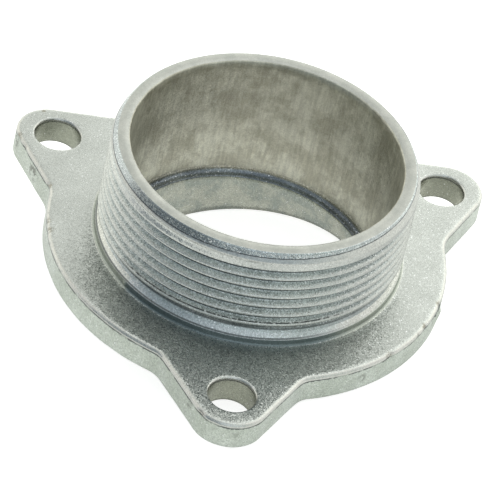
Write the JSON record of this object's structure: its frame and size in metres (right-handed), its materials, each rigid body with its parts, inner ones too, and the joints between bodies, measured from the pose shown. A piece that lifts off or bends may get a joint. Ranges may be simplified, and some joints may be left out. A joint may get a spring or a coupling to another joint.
{
  "type": "pump inlet flange",
  "caption": "Cast aluminium inlet flange for a motor pump: threaded hose neck, plate with bolt ears and a slanted valve seat behind.",
  "frame": {"origin": "centre of the flange's rear face, on the neck's axis", "axes": "+Z out along the neck, -Y to the lower bolt ear, +X to the side"},
  "size_m": [0.095, 0.092, 0.0389],
  "materials": {
    "cast_aluminium": "matte shot-blasted casting"
  },
  "bodies": {
    "root": {"inlet_flange": "cast_aluminium"}
  },
  "joints": []
}
